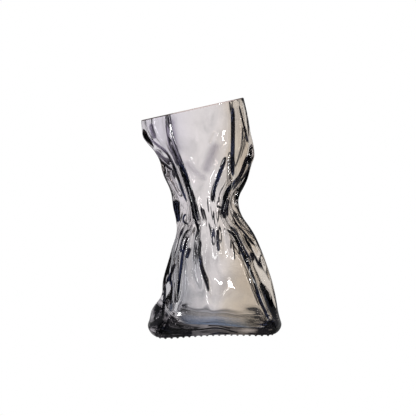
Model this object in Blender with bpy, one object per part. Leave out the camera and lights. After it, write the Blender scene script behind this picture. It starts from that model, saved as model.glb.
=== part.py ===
# A crumpled glass vase: one blown body, pinched at the waist, with a slanted rim and a stippled foot
import math

import bmesh
import bpy
import numpy as np
from mathutils import Vector

# Driving sizes, in metres. The origin is on the standing plane, below the middle of the vase's box.
# +Z is up and -Y is the front. The shifts lean the vase sideways from its foot.
HEIGHT = 0.210
WAIST_AT = 0.514
FOOT_WIDTH = 0.120
WAIST_WIDTH = 0.060
RIM_WIDTH = 0.092
FOOT_SHIFT = 0.003
WAIST_SHIFT = -0.004
RIM_SHIFT = -0.015
FOOT_DEPTH = 0.093
WAIST_DEPTH = 0.046
RIM_DEPTH = 0.060
FOOT_FRONT_SHARE = 0.48
RIM_SLOPE = 0.2215
RIM_TALL_X = 0.029
SLANT_FROM = 0.55

# Glass thickness
WALL = 0.0042
WALL_LEAST = 0.0024
RIM_WALL = 0.0027
FLOOR = 0.0082
FLOOR_FALL = 0.085
FLOOR_CURVE = 0.010

# Foot: a curved heel, a narrow bearing ring with stipples, and a shallow hollow inside the ring
HEEL = 0.0052
BEARING_INSET = 0.0034
BEARING_WIDTH = 0.0036
HOLLOW_RISE = 0.0022
STIPPLE_PITCH = 0.0054
STIPPLE_HEIGHT = 0.0012
STIPPLE_ROOT = 0.0014
STIPPLE_FOOT = 0.0010
STIPPLE_BURIED = 0.0005
STIPPLE_SIDES = 6

# Mesh density: panels between the corner lines, rows up the outside and rows down the inside
PANEL_COLUMNS = (22, 9, 9, 22, 9, 9)
OUTER_ROWS = 38
INNER_ROWS = 13
STUDY_ROWS = 150

# Corner lines, each as (height share, share of the half width, share of the depth) up the vase
CORNERS = {
    "front left": [
        (0.00, -0.90, -1.00), (0.05, -0.85, -1.00), (0.12, -0.68, -0.98), (0.21, -0.70, -0.93),
        (0.33, -0.75, -0.88), (0.42, -0.65, -0.90), (0.47, -0.51, -0.97), (0.52, -0.39, -1.00),
        (0.61, -0.48, -1.00), (0.71, -0.61, -0.98), (0.79, -0.71, -0.95), (0.86, -0.71, -0.92),
        (1.00, -0.52, -0.90),
    ],
    "front right": [
        (0.00, 0.95, -0.68), (0.12, 0.98, -0.80), (0.27, 0.98, -0.90), (0.37, 0.90, -0.92),
        (0.44, 0.71, -0.97), (0.51, 0.50, -1.00), (0.59, 0.68, -1.00), (0.65, 0.87, -0.95),
        (0.74, 0.85, -0.92), (0.86, 0.83, -0.90), (1.00, 0.73, -0.90),
    ],
    "right": [
        (0.00, 1.06, 0.10), (0.06, 1.13, 0.08), (0.14, 1.265, 0.06), (0.25, 1.39, 0.05),
        (0.36, 1.39, 0.05), (0.44, 1.35, 0.05), (0.51, 1.11, 0.05), (0.56, 1.07, 0.05),
        (0.64, 1.36, 0.00), (0.72, 1.48, 0.00), (0.80, 1.45, 0.00), (0.85, 1.31, 0.00),
        (0.91, 1.18, 0.00), (1.00, 0.965, 0.00),
    ],
    "back right": [
        (0.00, 0.92, 0.84), (0.14, 0.98, 0.86), (0.30, 1.00, 0.88), (0.42, 0.78, 0.95),
        (0.51, 0.50, 1.00), (0.60, 0.64, 1.00), (0.70, 1.02, 0.96), (0.79, 1.22, 0.90),
        (0.86, 1.14, 0.88), (1.00, 0.92, 0.88),
    ],
    "back left": [
        (0.00, -0.88, 0.95), (0.14, -0.84, 0.95), (0.30, -0.86, 0.90), (0.42, -0.70, 0.95),
        (0.51, -0.50, 1.00), (0.59, -0.62, 1.00), (0.67, -0.74, 0.97), (0.75, -0.86, 0.94),
        (0.80, -1.00, 0.92), (0.85, -1.16, 0.90), (0.91, -1.07, 0.88), (1.00, -0.80, 0.88),
    ],
    "left": [
        (0.00, -1.04, 0.00), (0.05, -1.06, 0.00), (0.09, -1.12, 0.00), (0.135, -1.02, 0.00),
        (0.17, -1.02, 0.00), (0.20, -1.055, 0.00), (0.31, -1.05, 0.00), (0.40, -0.98, 0.00),
        (0.45, -1.01, 0.00), (0.51, -1.085, 0.00), (0.59, -1.07, 0.00), (0.67, -1.20, 0.00),
        (0.74, -1.21, 0.00), (0.80, -1.34, 0.00), (0.83, -1.40, 0.00), (0.88, -1.33, 0.00),
        (1.00, -0.985, 0.00),
    ],
}

# How far each panel bows outwards, as (height share, share of the largest bow)
BOW = 0.0060
BOWS = [
    [(0.00, -1.40), (0.10, -0.30), (0.20, 0.60), (0.32, 0.75), (0.50, 0.05), (0.70, 0.15), (1.00, 0.50)],
    [(0.00, 0.40), (0.20, -0.20), (0.40, -0.50), (0.52, -1.00), (0.62, -0.80), (0.75, -0.20), (1.00, 0.15)],
    [(0.00, 0.40), (0.20, -0.20), (0.40, -0.40), (0.60, -0.50), (1.00, 0.15)],
    [(0.00, -0.35), (0.12, 0.15), (0.30, 0.80), (0.50, 0.15), (0.70, 0.50), (1.00, 0.50)],
    [(0.00, 0.50), (0.20, -0.20), (0.40, -0.40), (0.60, -0.50), (1.00, 0.15)],
    [(0.00, 0.50), (0.20, -0.20), (0.40, -0.40), (0.52, -0.80), (0.65, -0.50), (1.00, 0.15)],
]

# Folds: face, share of the full rise (negative for a groove), share of the full half width, then
# the line of the fold as (height share, share across the face)
FOLD_RISE = 0.0050
FOLD_HALF_WIDTH = 0.0040
FOLDS = [
    ("front", 0.52, 0.62, [(1.03, -0.50), (0.93, -0.62), (0.86, -0.71), (0.79, -0.71),
                               (0.71, -0.61), (0.61, -0.48), (0.52, -0.39), (0.45, -0.24),
                               (0.38, -0.24)]),
    ("front", -0.52, 0.75, [(0.80, -0.87), (0.71, -0.78), (0.62, -0.63), (0.52, -0.54)]),
    ("front", 1.00, 0.85, [(0.81, 1.42), (0.75, 1.36), (0.70, 1.24), (0.66, 1.06), (0.62, 0.83),
                               (0.57, 0.62), (0.51, 0.50), (0.46, 0.58)]),
    ("front", -0.92, 0.85, [(0.73, 1.42), (0.68, 1.28), (0.62, 1.03), (0.57, 0.82), (0.51, 0.71)]),
    ("front", 0.64, 0.70, [(0.50, 0.50), (0.44, 0.71), (0.37, 0.90), (0.27, 0.98), (0.12, 0.99),
                               (0.00, 0.94)]),
    ("front", 0.60, 0.70, [(0.49, -0.46), (0.42, -0.65), (0.33, -0.75), (0.21, -0.70),
                               (0.13, -0.67), (0.05, -0.80)]),
    ("front", -0.16, 3.20, [(0.90, 0.04), (0.78, 0.02), (0.66, 0.02)]),
    ("front", 0.07, 1.30, [(0.80, -0.46), (0.74, -0.34), (0.70, -0.24), (0.65, -0.12)]),
    ("front", 0.08, 1.30, [(0.87, 0.40), (0.80, 0.31), (0.74, 0.20), (0.66, 0.02)]),
    ("front", 0.10, 1.30, [(0.86, 0.62), (0.78, 0.52), (0.70, 0.36)]),
    ("front", -0.20, 0.50, [(0.79, 0.76), (0.70, 0.50), (0.62, 0.28), (0.54, 0.19)]),
    ("front", 0.88, 0.90, [(0.86, -1.44), (0.82, -1.34), (0.78, -1.17), (0.74, -1.00),
                               (0.68, -0.84), (0.62, -0.74)]),
    ("front", -0.92, 0.80, [(0.82, -1.46), (0.78, -1.30), (0.74, -1.12), (0.70, -0.95),
                                (0.67, -0.90)]),
    ("front", 0.60, 0.85, [(0.76, -1.26), (0.70, -1.08), (0.64, -0.92), (0.57, -0.78)]),
    ("front", -0.56, 0.85, [(0.66, -1.08), (0.59, -0.92), (0.52, -0.88), (0.44, -0.88)]),
    ("front", -0.28, 0.75, [(0.62, -0.26), (0.54, -0.20), (0.46, -0.08)]),
    ("front", 0.52, 0.75, [(0.58, -0.62), (0.52, -0.58), (0.47, -0.64), (0.42, -0.80)]),
    ("front", 0.24, 0.80, [(0.56, 0.02), (0.51, 0.02), (0.42, 0.02), (0.34, -0.02),
                               (0.27, 0.04), (0.20, 0.20)]),
    ("front", -0.56, 0.70, [(0.50, -0.26), (0.42, -0.22), (0.36, -0.24), (0.29, -0.22), (0.22, -0.12),
                                (0.12, -0.08)]),
    ("front", 0.44, 0.85, [(0.44, -0.36), (0.36, -0.40), (0.26, -0.38), (0.18, -0.26)]),
    ("front", -0.40, 0.65, [(0.50, 0.30), (0.44, 0.26), (0.38, 0.23), (0.31, 0.24)]),
    ("front", 0.32, 0.85, [(0.46, 0.42), (0.41, 0.46), (0.35, 0.42)]),
    ("front", -0.48, 0.70, [(0.46, 0.60), (0.40, 0.62), (0.33, 0.68)]),
    ("front", -0.60, 0.75, [(0.47, -0.42), (0.41, -0.56), (0.34, -0.60), (0.26, -0.60)]),
    ("front", 0.72, 0.90, [(0.44, -0.86), (0.36, -0.94), (0.27, -1.02), (0.17, -1.00), (0.04, -0.98)]),
    ("front", -0.72, 0.85, [(0.36, -0.84), (0.27, -0.90), (0.18, -0.84), (0.08, -0.88)]),
    ("front", 0.68, 0.95, [(0.57, 0.78), (0.49, 0.82), (0.41, 1.04), (0.31, 1.19), (0.16, 1.18)]),
    ("front", -0.88, 0.95, [(0.34, 1.02), (0.27, 1.07), (0.18, 1.07), (0.05, 1.02)]),
    ("front", -0.68, 0.85, [(0.43, 0.92), (0.385, 1.00), (0.34, 1.06)]),
    ("front", -0.36, 2.00, [(0.20, 0.30), (0.12, 0.10), (0.05, 0.04)]),
    ("back", -0.36, 2.25, [(0.92, 0.20), (0.80, 0.10), (0.68, 0.02)]),
    ("back", 0.16, 2.00, [(0.72, -0.30), (0.64, -0.24), (0.55, -0.16)]),
    ("back", -0.36, 1.10, [(0.59, 0.20), (0.50, 0.14), (0.40, 0.20)]),
    ("back", 0.56, 1.10, [(0.80, -1.16), (0.74, -1.00), (0.66, -0.74), (0.56, -0.44), (0.46, -0.34)]),
    ("back", -0.44, 1.10, [(0.59, -0.42), (0.52, -0.30), (0.42, -0.26), (0.32, -0.44)]),
    ("back", 0.60, 1.00, [(0.78, 1.32), (0.72, 1.20), (0.66, 1.07), (0.62, 0.86), (0.57, 0.66),
                              (0.49, 0.52)]),
    ("back", 0.56, 1.00, [(0.50, 0.06), (0.42, -0.02), (0.32, 0.06), (0.22, 0.02), (0.14, 0.10)]),
    ("back", -0.56, 0.95, [(0.50, 0.52), (0.42, 0.74), (0.34, 0.92), (0.24, 1.02)]),
    ("back", 0.52, 1.05, [(0.48, -0.56), (0.38, -0.66), (0.26, -0.72), (0.14, -0.66)]),
    ("back", -0.56, 1.05, [(0.40, -0.92), (0.28, -0.98), (0.16, -0.92), (0.06, -0.90)]),
    ("back", 0.56, 1.10, [(0.44, 0.92), (0.34, 1.08), (0.22, 1.12), (0.08, 1.02)]),
    ("left", 0.52, 1.00, [(0.50, -0.30), (0.38, -0.42), (0.24, -0.30), (0.10, -0.40)]),
    ("left", -0.52, 1.00, [(0.56, 0.10), (0.42, 0.02), (0.28, 0.12), (0.14, 0.04)]),
    ("left", 0.48, 1.00, [(0.72, 0.36), (0.60, 0.46), (0.46, 0.50), (0.30, 0.46)]),
    ("right", 0.52, 1.00, [(0.60, -0.10), (0.52, -0.30), (0.40, -0.12), (0.24, -0.24)]),
    ("right", -0.56, 1.00, [(0.56, 0.36), (0.44, 0.20), (0.30, 0.34), (0.16, 0.22)]),
    ("right", 0.48, 1.00, [(0.46, 0.66), (0.34, 0.60), (0.20, 0.66), (0.08, 0.58)]),
]
FACES = {"front": (0.0, -1.0), "back": (0.0, 1.0), "left": (-1.0, 0.0), "right": (1.0, 0.0)}

# Fine gathers that run round the waist, between the folds
GATHERS = 15
GATHER_RISE = 0.0004
GATHER_SPREAD = 0.13


def clear_scene():
    """Leaves an empty scene for the part."""
    for old in list(bpy.data.objects):
        bpy.data.objects.remove(old, do_unlink=True)


def blend(low, high, value):
    """0 below low, 1 above high and a smooth step between them."""
    share = np.clip((value - low) / (high - low), 0.0, 1.0)
    return share * share * (3.0 - 2.0 * share)


def through_three(share, foot, waist, rim):
    """The smooth curve through a size at the foot, the waist and the rim."""
    w = WAIST_AT
    at_foot = (share - w) * (share - 1.0) / w
    at_waist = share * (share - 1.0) / (w * (w - 1.0))
    at_rim = share * (share - w) / (1.0 - w)
    return foot * at_foot + waist * at_waist + rim * at_rim


def along(points, share):
    """The smooth curve through (height share, value) points."""
    heights = np.array([p[0] for p in points])
    values = np.array([p[1] for p in points])
    slopes = np.gradient(values, heights)
    index = np.clip(np.searchsorted(heights, share) - 1, 0, len(heights) - 2)
    step = heights[index + 1] - heights[index]
    t = np.clip((share - heights[index]) / step, 0.0, 1.0)
    start = (2 * t**3 - 3 * t**2 + 1) * values[index] + (t**3 - 2 * t**2 + t) * step * slopes[index]
    end = (3 * t**2 - 2 * t**3) * values[index + 1] + (t**3 - t**2) * step * slopes[index + 1]
    return start + end


def half_width(share):
    return through_three(share, FOOT_WIDTH, WAIST_WIDTH, RIM_WIDTH) / 2


def centre_x(share):
    return through_three(share, FOOT_SHIFT, WAIST_SHIFT, RIM_SHIFT)


def depth(share, side):
    """Half depth at a height, in front where side is negative and behind where it is positive."""
    foot_front = FOOT_DEPTH * FOOT_FRONT_SHARE
    front = through_three(share, foot_front, WAIST_DEPTH / 2, RIM_DEPTH / 2)
    back = through_three(share, FOOT_DEPTH - foot_front, WAIST_DEPTH / 2, RIM_DEPTH / 2)
    return np.where(side < 0, front, back)


def softened(rings, passes):
    """Rings with each point drawn towards its neighbours."""
    for _ in range(passes):
        rings = (np.roll(rings, 1, axis=1) + 2 * rings + np.roll(rings, -1, axis=1)) / 4
    return rings


def outward(rings):
    """Unit vectors in the level plane, square to each ring."""
    run = np.roll(rings, -1, axis=1) - np.roll(rings, 1, axis=1)
    run /= np.linalg.norm(run, axis=2, keepdims=True)
    return np.stack([run[..., 1], -run[..., 0]], axis=2)


def plain_rings(shares):
    """Level outlines of the bag before it is folded: six corners with bowed panels between them."""
    corners = []
    for line in CORNERS.values():
        across = along([(h, x) for h, x, _ in line], shares)
        out = along([(h, y) for h, _, y in line], shares)
        x = centre_x(shares) + across * half_width(shares)
        corners.append(np.stack([x, out * depth(shares, out)], axis=1))
    rings = []
    for k, columns in enumerate(PANEL_COLUMNS):
        start, end = corners[k][:, None], corners[(k + 1) % len(corners)][:, None]
        run = end - start
        run_length = np.linalg.norm(run, axis=2, keepdims=True)
        square = np.stack([run[..., 1], -run[..., 0]], axis=2) / run_length
        t = (np.arange(columns) / columns)[None, :, None]
        bow = BOW * along(BOWS[k], shares)[:, None, None]
        rings.append(start + run * t + square * bow * 4 * t * (1 - t))
    rings = np.concatenate(rings, axis=1)
    crisp, round_ = softened(rings, 1), softened(rings, 5)
    roundness = (1 - blend(0.05, 0.22, shares))[:, None, None]
    return crisp * (1 - roundness) + round_ * roundness


def nearest_on_line(points, line):
    """Distance from each point to a bent line, and how far along the line that place is."""
    best = np.full(points.shape[:-1], np.inf)
    place = np.zeros(points.shape[:-1])
    lengths = np.linalg.norm(np.diff(line, axis=0), axis=1)
    run_so_far = np.concatenate([[0.0], np.cumsum(lengths)])
    for k, length in enumerate(lengths):
        run = line[k + 1] - line[k]
        t = np.clip(((points - line[k]) @ run) / length**2, 0.0, 1.0)
        gap = np.linalg.norm(points - line[k] - t[..., None] * run, axis=-1)
        closer = gap < best
        best = np.where(closer, gap, best)
        place = np.where(closer, run_so_far[k] + t * length, place)
    return best, place / run_so_far[-1]


def fold_rise(rings, normals, shares):
    """How far the folds lift the surface of the rings at each point."""
    level = np.repeat(shares[:, None], rings.shape[1], axis=1)
    rise = np.zeros(level.shape)
    for face, lift, half, path in FOLDS:
        facing = FACES[face]
        fine = np.linspace(path[0][0], path[-1][0], 15)
        across = along(sorted(path), fine)
        if facing[0] == 0.0:
            line_x = centre_x(fine) + across * half_width(fine)
            place = rings[..., 0]
        else:
            line_x = across * depth(fine, across)
            place = rings[..., 1]
        line = np.stack([line_x, fine * HEIGHT], axis=1)
        gap, run = nearest_on_line(np.stack([place, level * HEIGHT], axis=2), line)
        turned = normals[..., 0] * facing[0] + normals[..., 1] * facing[1]
        weight = blend(0.05, 0.55, turned) * blend(0.0, 0.18, run) * blend(0.0, 0.18, 1 - run)
        rise += lift * FOLD_RISE * np.exp(-((gap / (half * FOLD_HALF_WIDTH)) ** 2)) * weight
    return rise


def gather_rise(rings, shares):
    """The ripple of the fine gathers, strongest at the waist."""
    lengths = np.linalg.norm(np.roll(rings, -1, axis=1) - rings, axis=2)
    turn = np.cumsum(lengths, axis=1) / lengths.sum(axis=1, keepdims=True)
    above = (shares - WAIST_AT)[:, None]
    phase = 2 * math.pi * GATHERS * (turn + 0.09 * above)
    uneven = 0.6 + 0.4 * np.sin(2 * math.pi * (3 * turn + 1.7 * above) + 0.8)
    return GATHER_RISE * np.cos(phase) * uneven * np.exp(-((above / GATHER_SPREAD) ** 2))


def outer_rings(plain, shares):
    """Level outlines of the folded outside."""
    normals = outward(softened(plain, 2))
    rise = fold_rise(plain, normals, shares) + gather_rise(plain, shares)
    return plain + normals * rise[..., None]


def inner_rings(plain, outer, shares):
    """Level outlines of the inside: the bag without its folds, and nowhere too close to the outside."""
    wall = WALL + (RIM_WALL - WALL) * blend(0.86, 1.0, shares)
    least = np.minimum(WALL_LEAST, wall)
    normals = outward(softened(plain, 2))
    inside = plain - normals * wall[:, None, None]
    for _ in range(4):
        inside[1:-1] = (inside[:-2] + 2 * inside[1:-1] + inside[2:]) / 4
    for _ in range(3):
        between = ((outer - inside) * normals).sum(axis=2)
        short = np.maximum(least[:, None] - between, 0.0)
        inside = softened(inside - normals * short[..., None], 1)
    return inside


def ring_at(rings, shares, levels):
    """Points on the rings with a height share of its own for each column."""
    columns = np.arange(rings.shape[1])
    place = np.clip(np.interp(levels, shares, np.arange(len(shares))), 0, len(shares) - 1.001)
    low = place.astype(int)
    part = (place - low)[:, None]
    return rings[low, columns] * (1 - part) + rings[low + 1, columns] * part


def rim_levels(rings, shares):
    """The height share at which each column reaches the slanted plane of the rim."""
    levels = np.ones(rings.shape[1])
    for _ in range(30):
        x = ring_at(rings, shares, levels)[:, 0]
        levels = 1.0 - (RIM_TALL_X - x) * RIM_SLOPE / HEIGHT
    return levels


def slanted_levels(share, top):
    """A level row low down, tilting into the plane of the rim towards the top."""
    return share - (1.0 - top) * blend(SLANT_FROM, 1.0, share)


def drawn_in(ring, centre, inset):
    """The ring moved towards its centre by a distance."""
    arm = ring - centre
    reach = np.linalg.norm(arm, axis=1, keepdims=True)
    return centre + arm * (1 - inset / reach)


def bridge(bm, low, high):
    """Quads between two loops of vertices, facing outwards where high is above low."""
    count = len(low)
    for k in range(count):
        n = (k + 1) % count
        bm.faces.new((low[k], low[n], high[n], high[k]))


def fan(bm, ring, middle, upward):
    """Triangles from a loop of vertices to a middle vertex."""
    count = len(ring)
    for k in range(count):
        n = (k + 1) % count
        order = (ring[k], ring[n], middle) if upward else (ring[n], ring[k], middle)
        bm.faces.new(order)


def loop(bm, ring, heights):
    heights = np.broadcast_to(heights, (len(ring),))
    return [bm.verts.new((x, y, z)) for (x, y), z in zip(ring, heights)]


def build_outside(bm, rings, shares, top, standing):
    """The foot, heel and folded outside, as loops from the middle of the foot up to the rim."""
    ring = ring_at(rings, shares, np.full(rings.shape[1], HEEL / HEIGHT))
    middle = ring.mean(axis=0)
    bearing_in = BEARING_INSET + BEARING_WIDTH
    loops = []
    hollow = middle + (drawn_in(ring, middle, bearing_in) - middle) * 0.6
    loops.append(loop(bm, hollow, standing + HOLLOW_RISE * 0.85))
    loops.append(loop(bm, drawn_in(ring, middle, bearing_in + 0.002), standing + 0.3 * HOLLOW_RISE))
    loops.append(loop(bm, drawn_in(ring, middle, bearing_in), standing))
    loops.append(loop(bm, drawn_in(ring, middle, BEARING_INSET), standing))
    for turn in (30, 58, 80):
        angle = math.radians(turn)
        inset = BEARING_INSET * (1 - math.sin(angle))
        loops.append(loop(bm, drawn_in(ring, middle, inset), standing + HEEL * (1 - math.cos(angle))))
    low = (standing + HEEL) / HEIGHT
    for share in np.linspace(low, 1.0, OUTER_ROWS + 1):
        levels = slanted_levels(share, top)
        loops.append(loop(bm, ring_at(rings, shares, levels), levels * HEIGHT))
    hub = bm.verts.new((middle[0], middle[1], standing + HOLLOW_RISE))
    fan(bm, loops[0], hub, upward=False)
    for lower, upper in zip(loops, loops[1:]):
        bridge(bm, lower, upper)
    return loops[-1]


def floor_height(x, standing):
    """The top of the glass floor, which falls a little towards the right."""
    return standing + FLOOR - FLOOR_FALL * (x - FOOT_SHIFT)


def build_inside(bm, rings, shares, top, standing):
    """The inside as loops from the rim down to the floor, with a curve where wall meets floor."""
    count = rings.shape[1]
    base = ring_at(rings, shares, np.full(count, (standing + FLOOR + FLOOR_CURVE) / HEIGHT))
    middle = base.mean(axis=0)
    loops = []
    low = (standing + FLOOR + FLOOR_CURVE) / HEIGHT
    fall = -FLOOR_FALL * (base[:, 0] - FOOT_SHIFT) / HEIGHT
    for share in np.linspace(1.0, low, INNER_ROWS + 1):
        levels = slanted_levels(share, top) + fall * blend(low + 0.15, low, share)
        loops.append(loop(bm, ring_at(rings, shares, levels), levels * HEIGHT))
    ring = ring_at(rings, shares, low + fall)
    for turn in (28, 54, 76):
        angle = math.radians(turn)
        inner = drawn_in(ring, middle, FLOOR_CURVE * 0.8 * (1 - math.cos(angle)))
        heights = floor_height(inner[:, 0], standing) + FLOOR_CURVE * (1 - math.sin(angle))
        loops.append(loop(bm, inner, heights))
    for part in (0.62, 0.30):
        inner = middle + (ring - middle) * part
        loops.append(loop(bm, inner, floor_height(inner[:, 0], standing) + 0.0002))
    for upper, lower in zip(loops, loops[1:]):
        bridge(bm, upper, lower)
    hub = bm.verts.new((middle[0], middle[1], floor_height(middle[0], standing)))
    fan(bm, loops[-1], hub, upward=True)
    return loops[0]


def middle_offset(bm):
    """The move that puts the middle of the box over the origin."""
    x = [v.co.x for v in bm.verts]
    y = [v.co.y for v in bm.verts]
    return Vector((-(min(x) + max(x)) / 2, -(min(y) + max(y)) / 2, 0.0))


def mesh_object(name, bm, offset, collection):
    bmesh.ops.translate(bm, vec=offset, verts=bm.verts)
    mesh = bpy.data.meshes.new(name)
    bm.to_mesh(mesh)
    bm.free()
    made = bpy.data.objects.new(name, mesh)
    collection.objects.link(made)
    return made


def stipple_places(ring):
    """Places at an even pitch round the middle of the bearing ring."""
    ring = np.vstack([ring, ring[:1]])
    run = np.concatenate([[0.0], np.cumsum(np.linalg.norm(np.diff(ring, axis=0), axis=1))])
    count = round(run[-1] / STIPPLE_PITCH)
    places = (np.arange(count) + 0.5) * run[-1] / count
    return np.stack([np.interp(places, run, ring[:, k]) for k in (0, 1)], axis=1)


def build_stipples(places, standing):
    """Small tapered feet that stand below the bearing ring, sunk a little into it."""
    bm = bmesh.new()
    for x, y in places:
        levels = []
        for radius, z in ((STIPPLE_FOOT, 0.0), (STIPPLE_ROOT, standing + STIPPLE_BURIED)):
            turns = [2 * math.pi * k / STIPPLE_SIDES for k in range(STIPPLE_SIDES)]
            corner = [(x + radius * math.cos(a), y + radius * math.sin(a), z) for a in turns]
            levels.append([bm.verts.new(c) for c in corner])
        bridge(bm, *levels)
        bm.faces.new(levels[0][::-1])
        bm.faces.new(levels[1])
    return bm


def glass():
    """Smoke-grey clear glass."""
    material = bpy.data.materials.new("smoke_glass")
    material.use_nodes = True
    shader = material.node_tree.nodes["Principled BSDF"]
    shader.inputs["Base Color"].default_value = (0.70, 0.68, 0.71, 1.0)
    shader.inputs["Roughness"].default_value = 0.03
    shader.inputs["IOR"].default_value = 1.5
    shader.inputs["Transmission Weight"].default_value = 1.0
    return material


def main():
    clear_scene()
    shares = np.linspace(0.0, 1.08, STUDY_ROWS)
    plain = plain_rings(shares)
    outer = outer_rings(plain, shares)
    inner = inner_rings(plain, outer, shares)
    outer_top = rim_levels(outer, shares)
    inner_top = rim_levels(inner, shares)
    standing = STIPPLE_HEIGHT

    body_collection = bpy.data.collections.new("vase")
    cutters = bpy.data.collections.new("cutters")
    bpy.context.scene.collection.children.link(body_collection)
    bpy.context.scene.collection.children.link(cutters)

    bm = bmesh.new()
    outer_rim = build_outside(bm, outer, shares, outer_top, standing)
    inner_rim = build_inside(bm, inner, shares, inner_top, standing)
    bridge(bm, outer_rim, inner_rim)
    offset = middle_offset(bm)
    vase = mesh_object("vase", bm, offset, body_collection)
    vase.data.materials.append(glass())

    ring = ring_at(outer, shares, np.full(outer.shape[1], HEEL / HEIGHT))
    bearing = drawn_in(ring, ring.mean(axis=0), BEARING_INSET + BEARING_WIDTH / 2)
    feet = build_stipples(stipple_places(bearing), standing)
    stipples = mesh_object("stipples", feet, offset, cutters)
    stipples.hide_render = True
    stipples.display_type = "WIRE"
    join = vase.modifiers.new("stipples", "BOOLEAN")
    join.operation = "UNION"
    join.solver = "EXACT"
    join.object = stipples


main()
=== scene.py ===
"""Looks of a crumpled smoke-glass vase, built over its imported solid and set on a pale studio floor."""

import math

import bmesh
import bpy
import numpy as np
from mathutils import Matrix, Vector


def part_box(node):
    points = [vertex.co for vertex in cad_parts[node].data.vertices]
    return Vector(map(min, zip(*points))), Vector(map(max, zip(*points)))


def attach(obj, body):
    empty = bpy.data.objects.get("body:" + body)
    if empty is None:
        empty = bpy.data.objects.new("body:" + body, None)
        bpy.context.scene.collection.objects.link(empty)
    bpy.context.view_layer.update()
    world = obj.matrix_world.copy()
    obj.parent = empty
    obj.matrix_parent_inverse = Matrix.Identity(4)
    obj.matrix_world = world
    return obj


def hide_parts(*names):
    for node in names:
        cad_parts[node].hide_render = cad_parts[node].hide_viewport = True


bl_info = {
    "name": "Crumpled Glass Vase",
    "version": (1, 0, 0),
    "blender": (4, 5, 0),
    "location": "3D View > Sidebar > Vase",
    "description": "Dresses a packed vase as moulded smoke glass and sets up its studio",
    "category": "Object",
}

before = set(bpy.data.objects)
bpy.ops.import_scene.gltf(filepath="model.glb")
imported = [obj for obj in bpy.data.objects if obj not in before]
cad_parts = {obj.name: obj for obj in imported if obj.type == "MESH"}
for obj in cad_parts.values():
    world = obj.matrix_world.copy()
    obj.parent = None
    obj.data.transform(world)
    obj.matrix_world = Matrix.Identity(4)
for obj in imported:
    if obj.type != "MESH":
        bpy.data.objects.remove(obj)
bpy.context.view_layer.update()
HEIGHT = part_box("vase")[1].z

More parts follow.
